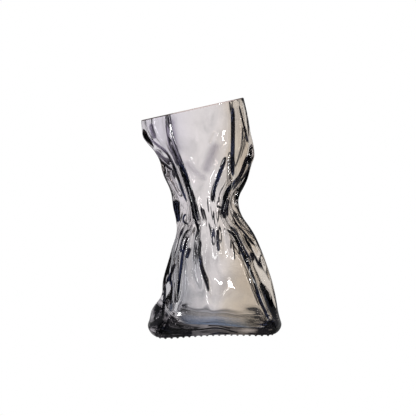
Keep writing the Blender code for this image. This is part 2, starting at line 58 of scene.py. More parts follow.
# Fine creases of the outside, each as how dark its painted shade is (under SOFT_BELOW a soft painted shade),
# depth share (negative for a groove), half width share and the points (x, z) of its line in metres on the
# face it lies on
CREASES = {
    "front": [
        (0.80, -0.34, 0.90, [(-0.0572, 0.1814), (-0.0559, 0.1743), (-0.0488, 0.1682), (-0.0416, 0.1639),
                             (-0.0372, 0.1568), (-0.0328, 0.1481), (-0.0302, 0.1392), (-0.0268, 0.1282),
                             (-0.0232, 0.1194), (-0.0203, 0.1117)]),
        (0.90, -0.38, 0.90, [(-0.0587, 0.1707), (-0.0552, 0.1658), (-0.0502, 0.1589), (-0.0466, 0.1545),
                             (-0.0420, 0.1507), (-0.0373, 0.1474), (-0.0328, 0.1445)]),
        (1.00, -0.42, 1.00, [(-0.0512, 0.1636), (-0.0462, 0.1593), (-0.0409, 0.1540), (-0.0364, 0.1497)]),
        (0.70, -0.29, 1.60, [(-0.0538, 0.1885), (-0.0531, 0.1797), (-0.0495, 0.1727)]),
        (0.80, -0.34, 0.80, [(-0.0438, 0.1457), (-0.0404, 0.1347), (-0.0373, 0.1257), (-0.0351, 0.1185)]),
        (0.70, -0.29, 1.00, [(-0.0391, 0.1922), (-0.0388, 0.1818), (-0.0375, 0.1705), (-0.0350, 0.1627),
                             (-0.0307, 0.1513), (-0.0281, 0.1470)]),
        (0.29, -0.05, 3.20, [(-0.0368, 0.1960), (-0.0361, 0.1905), (-0.0349, 0.1818), (-0.0328, 0.1688),
                             (-0.0298, 0.1584)]),
        (0.14, -0.02, 2.00, [(-0.0080, 0.1435), (-0.0072, 0.1374)]),
        (1.00, -0.21, 1.50, [(-0.0332, 0.1710), (-0.0328, 0.1688), (-0.0298, 0.1584),
                             (-0.0263, 0.1496), (-0.0229, 0.1400), (-0.0194, 0.1295), (-0.0159, 0.1189),
                             (-0.0133, 0.1084), (-0.0107, 0.0962)]),
        (1.00, -0.42, 0.80, [(-0.0281, 0.1488), (-0.0246, 0.1418), (-0.0211, 0.1295), (-0.0181, 0.1190),
                             (-0.0168, 0.1103), (-0.0142, 0.1015), (-0.0116, 0.0935), (-0.0098, 0.0873)]),
        (1.00, -0.06, 1.30, [(0.0129, 0.1618), (0.0103, 0.1548), (0.0077, 0.1469), (0.0042, 0.1381),
                             (0.0011, 0.1294), (0.0001, 0.1215), (0.0007, 0.1155)]),
        (0.22, -0.02, 3.60, [(0.0050, 0.1732), (0.0007, 0.1627), (-0.0037, 0.1522), (-0.0076, 0.1417)]),
        (0.16, -0.02, 2.60, [(-0.0250, 0.1560), (-0.0180, 0.1480), (-0.0100, 0.1420), (-0.0068, 0.1374)]),
        (0.00, 1.30, 1.20, [(0.0033, 0.1810), (0.0007, 0.1749), (-0.0015, 0.1679)]),
        (0.00, 0.90, 1.20, [(0.0128, 0.1731), (0.0102, 0.1671), (0.0076, 0.1627)]),
        (0.00, 1.30, 1.30, [(-0.0219, 0.1610), (-0.0202, 0.1549), (-0.0176, 0.1488), (-0.0124, 0.1435)]),
        (1.00, -0.42, 1.30, [(0.0175, 0.2068), (0.0180, 0.1921), (0.0181, 0.1730), (0.0177, 0.1555),
                             (0.0180, 0.1416), (0.0191, 0.1363)]),
        (0.60, -0.25, 0.80, [(0.0229, 0.2068), (0.0244, 0.1990), (0.0272, 0.1885), (0.0295, 0.1796),
                             (0.0309, 0.1725), (0.0336, 0.1663)]),
        (1.00, -0.42, 1.30, [(0.0331, 0.1637), (0.0300, 0.1549), (0.0273, 0.1461), (0.0237, 0.1392),
                             (0.0182, 0.1347), (0.0138, 0.1296), (0.0112, 0.1235), (0.0099, 0.1165),
                             (0.0086, 0.1096), (0.0086, 0.1025)]),
        (0.90, -0.38, 0.90, [(0.0349, 0.1575), (0.0330, 0.1473), (0.0295, 0.1406), (0.0238, 0.1356),
                             (0.0193, 0.1305), (0.0155, 0.1261)]),
        (0.70, -0.29, 0.70, [(0.0304, 0.1347), (0.0269, 0.1275), (0.0233, 0.1212)]),
        (0.90, -0.38, 2.20, [(0.0147, 0.1226), (0.0120, 0.1174), (0.0112, 0.1103), (0.0121, 0.1033)]),
        (0.90, -0.38, 2.40, [(-0.0319, 0.1204), (-0.0325, 0.1130), (-0.0320, 0.1058), (-0.0316, 0.0968)]),
        (0.70, -0.29, 0.70, [(-0.0222, 0.1084), (-0.0254, 0.1053), (-0.0259, 0.1010), (-0.0231, 0.0988),
                             (-0.0194, 0.1005)]),
        (0.50, -0.21, 0.50, [(-0.0080, 0.1137), (-0.0063, 0.1076), (-0.0045, 0.1016)]),
        (0.50, -0.21, 0.50, [(-0.0045, 0.1242), (-0.0037, 0.1154), (-0.0028, 0.1085)]),
        (0.60, -0.25, 0.60, [(0.0059, 0.1242), (0.0059, 0.1182)]),
        (0.70, -0.29, 0.80, [(0.0033, 0.1155), (0.0068, 0.1147), (0.0094, 0.1130)]),
        (0.50, -0.21, 0.50, [(0.0051, 0.1138), (0.0059, 0.1068), (0.0042, 0.0996)]),
        (0.50, -0.21, 0.50, [(0.0007, 0.1129), (0.0016, 0.1058), (0.0025, 0.0979)]),
        (0.90, -0.38, 0.80, [(-0.0195, 0.0961), (-0.0234, 0.0915), (-0.0266, 0.0860), (-0.0274, 0.0792),
                             (-0.0278, 0.0724)]),
        (0.90, -0.38, 0.90, [(-0.0195, 0.0924), (-0.0221, 0.0871), (-0.0239, 0.0809), (-0.0257, 0.0740),
                             (-0.0270, 0.0653), (-0.0282, 0.0552), (-0.0295, 0.0442), (-0.0307, 0.0357),
                             (-0.0298, 0.0291)]),
        (0.90, -0.38, 1.20, [(-0.0195, 0.0794), (-0.0208, 0.0748), (-0.0230, 0.0687)]),
        (0.90, -0.38, 1.00, [(-0.0098, 0.0891), (-0.0103, 0.0829), (-0.0113, 0.0751), (-0.0104, 0.0665),
                             (-0.0081, 0.0570), (-0.0050, 0.0493), (-0.0032, 0.0425), (-0.0041, 0.0372)]),
        (0.50, -0.21, 1.60, [(-0.0089, 0.0613), (-0.0063, 0.0519), (-0.0032, 0.0442)]),
        (0.90, -0.38, 0.90, [(-0.0321, 0.0647), (-0.0350, 0.0575), (-0.0377, 0.0510), (-0.0413, 0.0437)]),
        (0.70, -0.29, 0.80, [(-0.0377, 0.0510), (-0.0358, 0.0434), (-0.0366, 0.0306), (-0.0369, 0.0234)]),
        (0.60, -0.25, 0.70, [(-0.0340, 0.0482), (-0.0326, 0.0403), (-0.0325, 0.0290)]),
        (0.90, -0.38, 1.00, [(-0.0423, 0.0445), (-0.0427, 0.0311), (-0.0436, 0.0208), (-0.0440, 0.0160)]),
        (0.60, -0.25, 0.80, [(-0.0478, 0.0262), (-0.0501, 0.0196), (-0.0515, 0.0123)]),
        (0.00, 1.50, 2.00, [(-0.0082, 0.0789), (-0.0080, 0.0705), (-0.0073, 0.0637), (-0.0038, 0.0560),
                            (0.0014, 0.0481)]),
        (0.60, -0.25, 1.30, [(0.0051, 0.0970), (0.0047, 0.0891), (0.0051, 0.0813), (0.0060, 0.0736)]),
        (0.60, -0.25, 0.60, [(0.0165, 0.0873), (0.0165, 0.0769)]),
        (0.60, -0.25, 0.60, [(0.0178, 0.0865), (0.0192, 0.0759), (0.0200, 0.0667)]),
        (0.50, -0.21, 0.60, [(0.0217, 0.0857), (0.0235, 0.0769), (0.0252, 0.0709)]),
        (1.00, -0.42, 1.00, [(0.0081, 0.1016), (0.0112, 0.0954), (0.0165, 0.0926), (0.0209, 0.0874),
                             (0.0244, 0.0795), (0.0296, 0.0682), (0.0340, 0.0577), (0.0375, 0.0481),
                             (0.0402, 0.0376), (0.0438, 0.0287), (0.0491, 0.0170), (0.0545, 0.0078)]),
        (0.80, -0.34, 0.90, [(0.0121, 0.0998), (0.0192, 0.0947), (0.0236, 0.0886), (0.0271, 0.0810),
                             (0.0315, 0.0723), (0.0354, 0.0657)]),
        (0.90, -0.38, 1.60, [(0.0336, 0.0735), (0.0354, 0.0683), (0.0358, 0.0648)]),
        (1.00, -0.42, 1.90, [(0.0407, 0.0481), (0.0454, 0.0401), (0.0500, 0.0299), (0.0545, 0.0191),
                             (0.0575, 0.0093)]),
        (0.60, -0.25, 0.80, [(0.0260, 0.1077), (0.0314, 0.0977), (0.0377, 0.0863), (0.0449, 0.0736),
                             (0.0492, 0.0606)]),
        (0.70, -0.29, 0.70, [(0.0168, 0.1080), (0.0212, 0.0983), (0.0284, 0.0909), (0.0356, 0.0816),
                             (0.0411, 0.0752)]),
        (0.60, -0.25, 0.70, [(-0.0411, 0.0052), (-0.0108, -0.0012), (0.0069, 0.0051), (0.0232, -0.0008)]),
        (0.60, -0.25, 0.70, [(-0.0316, 0.0109), (-0.0194, 0.0071), (-0.0063, 0.0078), (0.0034, 0.0089),
                             (0.0157, 0.0058), (0.0302, 0.0011)]),
    ],
    "back": [
        (0.80, -0.24, 0.90, [(0.0060, 0.1180), (0.0085, 0.1060), (0.0070, 0.0930), (0.0090, 0.0800)]),
        (0.80, -0.24, 0.90, [(-0.0100, 0.1060), (-0.0115, 0.0930), (-0.0095, 0.0800), (-0.0120, 0.0700)]),
        (0.70, -0.24, 0.80, [(-0.0020, 0.1120), (-0.0005, 0.1000), (-0.0025, 0.0900)]),
    ],
}

# A crease whose painted shade is less dark than this gives a soft painted shade instead of a line
SOFT_BELOW = 0.3
# The share of a crease's length over which it fades at each end
CREASE_TAPER = 0.2
# A face turned this far towards the front or the back takes its creases at full depth
FULLY_TURNED = 0.35
# Faces are halved where a crease of this share of its width would still act at least this strongly
SPLIT_REACH = 0.6
SPLIT_ABOVE = 0.37

# A point is wholly on the inside where its "outside" is below this
INSIDE_BELOW = 0.01
# Lengths on the body, in metres: points closer than MERGE_GAP are one, a point RIM_MARGIN under the rim's
# plane still counts as on it, and the inside keeps its faces within RIM_KEPT of the rim
MERGE_GAP = 0.00001
RIM_MARGIN = 0.0002
RIM_KEPT = 0.004
# The height up to which the underside is thinned, and the share of faces kept there and on the smooth inside
UNDERSIDE_HEIGHT = 0.0042
KEPT_SHARE = 0.75
# The rim's ground top reaches this many times the rounding below its highest line
GROUND_REACH = 1.7
# The glass body stops with an error at this many triangles or more
MOST_TRIANGLES = 200000

# How hollow a place is: the rounds that spread each place over its neighbours, how far in metres a place lies
# below that where it is fully hollow, and the rounds that soften the result
SPREAD_ROUNDS = 6
FULL_HOLLOW = 0.0006
SOFTEN_ROUNDS = 2

# The foot's painted shade, each stretch in metres from where it starts to where it is full, across (x) or up
# (z)
HEEL_UP = (0.0115, 0.0060)
HEEL_DARK = 0.9
CORNER_UP = (0.0185, 0.0130)
CORNER_ACROSS = (0.021, 0.033)
CORNER_MIDDLE = 0.004
CORNER_DARK = 1.35
# The far left of the foot stays clearer, and its heel keeps this share of the painted shade
FAR_LEFT_CORNER = (-0.056, -0.044)
FAR_LEFT_HEEL = (-0.058, -0.046)
FAR_LEFT_SHARE = 0.2
# A painted highlight in the heel, a paler patch in its painted shade: its middle and half size across and up,
# and how much of the painted shade it takes away
HEEL_HIGHLIGHT_ACROSS = (0.034, 0.009)
HEEL_HIGHLIGHT_UP = (0.0055, 0.0016)
HEEL_HIGHLIGHT_SHARE = 0.9
# The underside stays clear: the height of a face's normal where the painted shade starts and where it is full
UPRIGHT = (-0.95, -0.6)

# Where the glass changes colour, and where the painted shade at the foot of the low side (LOW_*) and the
# paler painted shade of the folds high up (PALE_FOLDS_*) lie, each stretch in metres from where it starts to
# where it is full. The stretches across wander by noise of this height, apart from LOW_EDGE
WANDER = 0.03
WARM_ACROSS = (0.012, 0.048)
COOL_ACROSS = (0.006, -0.030)
LOW_ACROSS = (0.016, -0.014)
LOW_EDGE = (-0.052, -0.036)
LOW_UP = (0.10, 0.07)
PALE_FOLDS_ACROSS = (0.005, -0.015)
PALE_FOLDS_UP = (0.150, 0.172)

# Where a noise or a stored value starts to show and where it shows in full
HOLLOW_SHOWS = (0.28, 0.85)
CREASE_SHOWS = (0.15, 0.38)
STREAK_SHOWS = (0.50, 0.66)
CLOUD_SHOWS = (0.45, 0.75)
BREAKS_SHOW = (0.35, 0.60)
FOOT_STREAKS_SHOW = (0.40, 0.60)
# How far the folds' painted shade high up on the low side turns to the colour of the soft painted shade
PALE_FOLDS_SHARE = 0.85

# The rim's ground top: how far from its middle the dark ends turn pale, and how much the grain shifts that
RIM_MIDDLE = -0.006
RIM_ENDS = (0.040, 0.026)
RIM_GRAIN = 0.012
# How many times brighter than its ends the middle of the rim is, and what is added to that
RIM_BRIGHTER = 4.0
RIM_ADDED = 0.25

# The studio's light panels: how many stand round the vase, and the stretch of the cosine wave over which a
# gap turns into a panel
PANELS = 8
PANEL_EDGE = (-0.88, -0.35)
# Above the panels is a dimmer ceiling: the angles where it starts and is full, and its share of their light
CEILING_FROM = math.radians(28)
CEILING_FULL = math.radians(50)
CEILING_SHARE = 0.15
# The share of white that lights matt surfaces
SOFT_LIGHT = 0.8

# The shade below the foot: how far from the middle it gives way to white, and where across it turns darker
SHADE_REACH = (0.032, 0.054)
CORNER_SHADE_ACROSS = (0.018, 0.045)
# How far the table top lies below the foot, and how much of its white the glass doesn't mirror
FLOOR_DROP = 0.0002
MIRRORED_LOSS = 0.8

# Lamps in front of the vase: name, place, width, height and the setting that holds the power
LAMPS = [
    ("key", (-0.5, -0.80, 0.78), 0.22, 0.3, "key_power"),
    ("fill", (0.65, -0.85, 0.6), 0.16, 0.5, "fill_power"),
    ("left strip", (-0.72, -0.86, 0.30), 0.07, 0.25, "strip_power"),
    ("right strip", (0.72, -0.86, 0.30), 0.07, 0.25, "strip_power"),
    ("low lamp", (0.20, -0.83, 0.07), 0.04, 0.12, "low_power"),
]
# The camera: its place, how many degrees it looks down and the width of its sensor in millimetres
CAMERA_PLACE = (-0.003674, -0.861507, 0.2029)
CAMERA_DROP = 6.08
SENSOR = 36.0


class GlassSettings(bpy.types.PropertyGroup):
    clear_tint: bpy.props.FloatVectorProperty(
        name="Clear tint", description="Colour of the smooth panels",
        subtype="COLOR", size=3, min=0.0, max=1.0, default=(0.91, 0.885, 0.885))
    warm_tint: bpy.props.FloatVectorProperty(
        name="Warm tint", description="Colour that drifts in on the tall side",
        subtype="COLOR", size=3, min=0.0, max=1.0, default=(0.80, 0.735, 0.65))
    cool_tint: bpy.props.FloatVectorProperty(
        name="Cool tint", description="Colour that drifts in on the low side",
        subtype="COLOR", size=3, min=0.0, max=1.0, default=(0.88, 0.86, 0.90))
    # Painted shade at the foot of the low side
    low_shade_tint: bpy.props.FloatVectorProperty(
        name="Low tint", description="Colour that drifts in at the foot of the low side",
        subtype="COLOR", size=3, min=0.0, max=1.0, default=(0.50, 0.51, 0.53))
    cloud_tint: bpy.props.FloatVectorProperty(
        name="Cloud tint", description="Colour of the faint swirls in the panels",
        subtype="COLOR", size=3, min=0.0, max=1.0, default=(0.50, 0.49, 0.50))
    cloud: bpy.props.FloatProperty(
        name="Cloud share", description="How strongly the swirls show",
        subtype="FACTOR", min=0.0, max=1.0, default=0.4)
    # Painted shade: the soft painted shade of faint creases, and the paler painted shade of the folds high up
    soft_shade_tint: bpy.props.FloatVectorProperty(
        name="Haze tint", description="Colour of the soft and the paler folds of the upper part",
        subtype="COLOR", size=3, min=0.0, max=1.0, default=(0.13, 0.11, 0.17))
    # Painted shade: the dark of the folds and creases
    fold_shade_tint: bpy.props.FloatVectorProperty(
        name="Fold tint", description="Colour where the glass pools in the folds",
        subtype="COLOR", size=3, min=0.0, max=1.0, default=(0.0003, 0.0003, 0.0006))
    # Painted shade: the bluer streaks in the dark of the folds
    deep_shade_tint: bpy.props.FloatVectorProperty(
        name="Deep tint", description="Colour of the bluer streaks in the folds",
        subtype="COLOR", size=3, min=0.0, max=1.0, default=(0.0008, 0.0014, 0.0065))
    smoke: bpy.props.FloatVectorProperty(
        name="Smoke", description="Colour that thick glass takes on",
        subtype="COLOR", size=3, min=0.0, max=1.0, default=(0.74, 0.72, 0.73))
    smoke_density: bpy.props.FloatProperty(
        name="Smoke density", description="How quickly thick glass darkens", min=0.0, default=45.0)
    ior: bpy.props.FloatProperty(
        name="Refractive index", description="How strongly the glass bends light", min=1.0, default=1.5)
    ripple: bpy.props.FloatProperty(
        name="Ripple", description="Height of the slow ripple left by the mould",
        unit="LENGTH", min=0.0, default=0.0005)


class ShapeSettings(bpy.types.PropertyGroup):
    crease_depth: bpy.props.FloatProperty(
        name="Crease depth", description="Depth of a fine crease whose depth share is 1",
        unit="LENGTH", min=0.0, default=0.00045)
    crease_width: bpy.props.FloatProperty(
        name="Crease half width", description="Half width of a fine crease whose width share is 1",
        unit="LENGTH", min=0.0002, default=0.0013)
    rim_slope: bpy.props.FloatProperty(
        name="Rim slope", description="Rise of the rim for each metre across", default=0.2215)
    rim_round: bpy.props.FloatProperty(
        name="Rim rounding", description="Radius of the melted edges of the rim",
        unit="LENGTH", min=0.0, default=0.0007)
    rim_colour: bpy.props.FloatVectorProperty(
        name="Rim colour", description="Colour of the ends of the ground rim",
        subtype="COLOR", size=3, min=0.0, max=1.0, default=(0.06, 0.035, 0.03))


class StudioSettings(bpy.types.PropertyGroup):
    floor_radius: bpy.props.FloatProperty(
        name="Floor radius", description="Radius of the pale table top",
        unit="LENGTH", min=0.2, default=0.45)
    floor_colour: bpy.props.FloatVectorProperty(
        name="Floor colour", description="Colour of the table top",
        subtype="COLOR", size=3, min=0.0, max=1.0, default=(0.80, 0.80, 0.80))
    shade_colour: bpy.props.FloatVectorProperty(
        name="Shade colour", description="Colour of the shade below the foot, as seen through the glass",
        subtype="COLOR", size=3, min=0.0, max=1.0, default=(0.19, 0.25, 0.36))
    corner_shade: bpy.props.FloatVectorProperty(
        name="Corner shade", description="Colour of the shade below the corners of the foot",
        subtype="COLOR", size=3, min=0.0, max=1.0, default=(0.05, 0.05, 0.06))
    gap_colour: bpy.props.FloatVectorProperty(
        name="Gap colour", description="Colour of the dark gaps between the studio's light panels",
        subtype="COLOR", size=3, min=0.0, max=1.0, default=(0.005, 0.006, 0.014))
    sheen_share: bpy.props.FloatProperty(
        name="Sheen share", description="How much of the panels' light the surface mirrors",
        subtype="FACTOR", min=0.0, max=1.0, default=0.1)
    key_power: bpy.props.FloatProperty(
        name="Key power", description="Power of the lamp on the left", unit="POWER", min=0.0, default=2.4)
    fill_power: bpy.props.FloatProperty(
        name="Fill power", description="Power of the lamp on the right", unit="POWER", min=0.0, default=2.5)
    strip_power: bpy.props.FloatProperty(
        name="Strip power", description="Power of each narrow lamp beside the camera", unit="POWER",
        min=0.0, default=0.6)
    low_power: bpy.props.FloatProperty(
        name="Low lamp power", description="Power of the small lamp near the table", unit="POWER",
        min=0.0, default=0.5)
    lens: bpy.props.FloatProperty(
        name="Lens", description="Focal length on a 36 mm sensor",
        unit="CAMERA", min=10.0, default=83.255)


def deselect_all():
    """Leaves nothing selected."""
    if bpy.context.object and bpy.context.object.mode != "OBJECT":
        bpy.ops.object.mode_set(mode="OBJECT")
    bpy.ops.object.select_all(action="DESELECT")


def select_only(piece):
    deselect_all()
    piece.select_set(True)
    bpy.context.view_layer.objects.active = piece


def merged_copy(node, name):
    """A new object with the node's surface, its loose triangles joined and paired into quads."""
    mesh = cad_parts[node].data.copy()
    mesh.name = name
    mesh.materials.clear()
    piece = bpy.data.objects.new(name, mesh)
    bpy.context.scene.collection.objects.link(piece)
    select_only(piece)
    bpy.ops.mesh.customdata_custom_splitnormals_clear()
    bpy.ops.object.mode_set(mode="EDIT")
    bpy.ops.mesh.select_all(action="SELECT")
    bpy.ops.mesh.remove_doubles(threshold=MERGE_GAP)
    bpy.ops.mesh.tris_convert_to_quads(
        face_threshold=math.radians(60), shape_threshold=math.radians(80))
    bpy.ops.mesh.select_all(action="DESELECT")
    bpy.ops.object.mode_set(mode="OBJECT")
    return piece


def vertex_array(mesh):
    places = np.empty(len(mesh.vertices) * 3, np.float32)
    mesh.vertices.foreach_get("co", places)
    return places.reshape(-1, 3).astype(np.float64)


def normal_array(mesh):
    normals = np.empty(len(mesh.vertices) * 3, np.float32)
    mesh.vertex_normals.foreach_get("vector", normals)
    return normals.reshape(-1, 3).astype(np.float64)


def set_attribute(mesh, name, values):
    old = mesh.attributes.get(name)
    attribute = old or mesh.attributes.new(name, "FLOAT", "POINT")
    attribute.data.foreach_set("value", np.ascontiguousarray(values, np.float32))


def get_attribute(mesh, name):
    values = np.empty(len(mesh.vertices), np.float32)
    mesh.attributes[name].data.foreach_get("value", values)
    return values.astype(np.float64)


def rim_lift(places, slope):
    """How far each place is above the slanted plane through the origin."""
    return places[:, 2] - slope * places[:, 0]


def round_rim(piece, slope, radius):
    """Bevels the two edge loops of the rim."""
    select_only(piece)
    bpy.ops.object.mode_set(mode="EDIT")
    bm = bmesh.from_edit_mesh(piece.data)
    lift = {v: v.co.z - slope * v.co.x for v in bm.verts}
    top = max(lift.values()) - RIM_MARGIN
    flat = {f for f in bm.faces if all(lift[v] > top for v in f.verts)}
    for edge in bm.edges:
        sides = [f in flat for f in edge.link_faces]
        edge.select_set(sides.count(True) == 1)
    bmesh.update_edit_mesh(piece.data)
    bpy.ops.mesh.bevel(offset=radius, offset_type="OFFSET", segments=2, profile=0.5, affect="EDGES")
    bpy.ops.object.mode_set(mode="OBJECT")


def mark_outside(piece, slope, depth):
    """Stores 1 on the outside of the vase and 0 on its inside, which meet at the rim."""
    bm = bmesh.new()
    bm.from_mesh(piece.data)
    bm.verts.ensure_lookup_table()
    bm.faces.ensure_lookup_table()
    top = max(v.co.z - slope * v.co.x for v in bm.verts) - depth
    rim = {f for f in bm.faces if all(v.co.z - slope * v.co.x > top for v in f.verts)}
    start = min(bm.faces, key=lambda f: f.calc_center_median().z)
    found = {start}
    waiting = [start]
    while waiting:
        for edge in waiting.pop().edges:
            for face in edge.link_faces:
                if face not in found and face not in rim:
                    found.add(face)
                    waiting.append(face)
    outside = np.zeros(len(bm.verts))
    for face in found:
        for vert in face.verts:
            outside[vert.index] = 1.0
    bm.free()
    set_attribute(piece.data, "outside", outside)


def apply_modifier(piece, kind, **values):
    select_only(piece)
    made = piece.modifiers.new(kind.lower(), kind)
    for name, value in values.items():
        setattr(made, name, value)
    bpy.ops.object.modifier_apply(modifier=made.name)


def thin_out(piece, height, slope, keep):
    """Takes surplus faces out of the smooth inside and the underside, which need fewer than the folds."""
    group = piece.vertex_groups.new(name="smooth")
    places = vertex_array(piece.data)
    lift = rim_lift(places, slope)
    inside = (get_attribute(piece.data, "outside") < INSIDE_BELOW) & (lift < lift.max() - RIM_KEPT)
    chosen = [int(k) for k in np.nonzero(inside | (places[:, 2] < height))[0]]
    group.add(chosen, 1.0, "REPLACE")
    apply_modifier(piece, "DECIMATE", decimate_type="COLLAPSE", ratio=keep, vertex_group="smooth")
    piece.vertex_groups.clear()


def crease_press(mesh, width):
    """For each fine crease, how dark its painted shade is, its share of the depth and how strongly it acts at
    each place.
    """
    places = vertex_array(mesh)
    normals = normal_array(mesh)
    outside = get_attribute(mesh, "outside")
    for face, facing in (("front", -1.0), ("back", 1.0)):
        turned = blend(0.0, FULLY_TURNED, normals[:, 1] * facing) * outside
        for dark, share, half, points in CREASES[face]:
            gap, run = along_line(places[:, [0, 2]], smooth_line(points))
            ends = blend(0.0, CREASE_TAPER, run) * blend(0.0, CREASE_TAPER, 1 - run)
            yield dark, share, np.exp(-((gap / (half * width)) ** 2)) * ends * turned


def split_along_creases(piece, width, reach):
    """Halves the faces along the fine creases, so that their edges stay crisp."""
    near = np.zeros(len(piece.data.vertices))
    for _, _, press in crease_press(piece.data, width * reach):
        near = np.maximum(near, press)
    select_only(piece)
    bpy.ops.object.mode_set(mode="EDIT")
    bpy.ops.mesh.select_all(action="DESELECT")
    bm = bmesh.from_edit_mesh(piece.data)
    bm.select_mode = {"FACE"}
    for face in bm.faces:
        face.select_set(any(near[v.index] > SPLIT_ABOVE for v in face.verts))
    bm.select_flush_mode()
    bmesh.update_edit_mesh(piece.data)
    bpy.ops.mesh.subdivide(number_cuts=1, smoothness=1.0, ngon=False)
    bpy.ops.mesh.vertices_smooth(factor=0.5, repeat=4)
    bpy.ops.mesh.select_all(action="DESELECT")
    bpy.ops.object.mode_set(mode="OBJECT")


def blend(low, high, value):
    share = np.clip((value - low) / (high - low), 0.0, 1.0)
    return share * share * (3.0 - 2.0 * share)


def along_line(points, line):
    """Distance from each point to a bent line, and the share of the line's length at that place."""
    best = np.full(len(points), np.inf)
    place = np.zeros(len(points))
    lengths = np.linalg.norm(np.diff(line, axis=0), axis=1)
    so_far = np.concatenate([[0.0], np.cumsum(lengths)])
    for k, length in enumerate(lengths):
        run = line[k + 1] - line[k]
        t = np.clip(((points - line[k]) @ run) / length**2, 0.0, 1.0)
        gap = np.linalg.norm(points - line[k] - t[:, None] * run, axis=1)
        closer = gap < best
        best = np.where(closer, gap, best)
        place = np.where(closer, so_far[k] + t * length, place)
    return best, place / so_far[-1]


def smooth_line(points):
    """The line with its corners rounded."""
    line = np.array(points, float)
    for _ in range(2):
        cut = [line[0]]
        for a, b in zip(line, line[1:]):
            cut += [a * 0.75 + b * 0.25, a * 0.25 + b * 0.75]
        cut.append(line[-1])
        line = np.array(cut)
    return line


def press_creases(piece, depth, width):
    """Presses the fine creases into the outside and stores the painted shade of their lines and their soft
    painted shade.
    """
    mesh = piece.data
    shift = np.zeros(len(mesh.vertices))
    lines = np.zeros(len(mesh.vertices))
    haze = np.zeros(len(mesh.vertices))
    for dark, share, press in crease_press(mesh, width):
        shift += share * depth * press
        # Faint creases give a soft painted shade, the others a line of painted shade
        if dark < SOFT_BELOW:
            haze = np.maximum(haze, dark / SOFT_BELOW * press)
        else:
            lines = np.maximum(lines, dark * press)
    moved = vertex_array(mesh) + normal_array(mesh) * shift[:, None]
    mesh.vertices.foreach_set("co", moved.astype(np.float32).ravel())
    mesh.update()
    set_attribute(mesh, "crease", lines)
    set_attribute(mesh, "haze", haze)


def store_hollows(piece):
    """Stores how hollow the outside is, from 0 on flats and ridges to 1 in the tightest folds."""
    mesh = piece.data
    places = vertex_array(mesh)
    edges = np.empty(len(mesh.edges) * 2, np.int32)
    mesh.edges.foreach_get("vertices", edges)
    edges = edges.reshape(-1, 2)
    count = np.bincount(edges.ravel(), minlength=len(places)).astype(float)

    def neighbours(values):
        total = np.zeros_like(values)
        np.add.at(total, edges[:, 0], values[edges[:, 1]])
        np.add.at(total, edges[:, 1], values[edges[:, 0]])
        return total / (count[:, None] if values.ndim > 1 else count)

    spread = places
    for _ in range(SPREAD_ROUNDS):
        spread = neighbours(spread)
    bend = ((spread - places) * normal_array(mesh)).sum(axis=1) * get_attribute(mesh, "outside")
    for _ in range(SOFTEN_ROUNDS):
        bend = (bend + neighbours(bend)) / 2
    set_attribute(mesh, "hollow", np.clip(bend / FULL_HOLLOW, 0.0, 1.0))


def store_foot(piece):
    """Stores the foot's painted shade at each place: along the heel, and further up at its corners, less a
    painted highlight in the heel.
    """
    mesh = piece.data
    across, _, up = vertex_array(mesh).T
    low = blend(*HEEL_UP, up) * HEEL_DARK
    low *= FAR_LEFT_SHARE + (1.0 - FAR_LEFT_SHARE) * blend(*FAR_LEFT_HEEL, across)
    corner = blend(*CORNER_ACROSS, np.abs(across - CORNER_MIDDLE)) * blend(*CORNER_UP, up)
    corner *= blend(*FAR_LEFT_CORNER, across)
    # Painted highlight: a paler patch cut from the heel's painted shade
    middle, half = HEEL_HIGHLIGHT_ACROSS
    level, rise = HEEL_HIGHLIGHT_UP
    heel_highlight = np.exp(-(((across - middle) / half) ** 2) - ((up - level) / rise) ** 2)
    upright = blend(*UPRIGHT, normal_array(mesh)[:, 2]) * get_attribute(mesh, "outside")
    dark = np.maximum(low, corner * CORNER_DARK) * (1.0 - HEEL_HIGHLIGHT_SHARE * heel_highlight)
    set_attribute(mesh, "foot", dark * upright)


def new_node(tree, kind, **values):
    made = tree.nodes.new(kind)
    for name, value in values.items():
        setattr(made, name, value)
    return made


def math_node(tree, operation, *values):
    made = new_node(tree, "ShaderNodeMath", operation=operation)
    for k, value in enumerate(values):
        if isinstance(value, (int, float)):
            made.inputs[k].default_value = value
        else:
            tree.links.new(value, made.inputs[k])
    return made.outputs[0]


def map_node(tree, value, start, end, to_start=0.0, to_end=1.0):
    made = new_node(tree, "ShaderNodeMapRange", interpolation_type="SMOOTHSTEP")
    tree.links.new(value, made.inputs["Value"])
    made.inputs["From Min"].default_value = start
    made.inputs["From Max"].default_value = end
    made.inputs["To Min"].default_value = to_start
    made.inputs["To Max"].default_value = to_end
    return made.outputs[0]


def mix_colour(tree, share, low, high):
    made = new_node(tree, "ShaderNodeMix", data_type="RGBA")
    for value, socket in ((share, made.inputs[0]), (low, made.inputs[6]), (high, made.inputs[7])):
        if isinstance(value, bpy.types.NodeSocket):
            tree.links.new(value, socket)
        elif isinstance(value, (int, float)):
            socket.default_value = value
        else:
            socket.default_value = (*value, 1.0)
    return made.outputs[2]


def noise_node(tree, place, scale, detail=2.0, stretch=(1.0, 1.0, 1.0), distortion=0.0):
    turned = new_node(tree, "ShaderNodeMapping")
    turned.inputs["Scale"].default_value = stretch
    made = new_node(tree, "ShaderNodeTexNoise")
    made.inputs["Scale"].default_value = scale
    made.inputs["Detail"].default_value = detail
    made.inputs["Distortion"].default_value = distortion
    tree.links.new(place, turned.inputs["Vector"])
    tree.links.new(turned.outputs[0], made.inputs["Vector"])
    return made.outputs[0]


def attribute_node(tree, name):
    return new_node(tree, "ShaderNodeAttribute", attribute_name=name).outputs["Fac"]


def multiply(tree, first, second):
    return math_node(tree, "MULTIPLY", first, second)


def place_nodes(tree):
    """The place on the piece, and how far across, back and up it is."""
    place = new_node(tree, "ShaderNodeTexCoord").outputs["Object"]
    split = new_node(tree, "ShaderNodeSeparateXYZ")
    tree.links.new(place, split.inputs[0])
    return place, *split.outputs


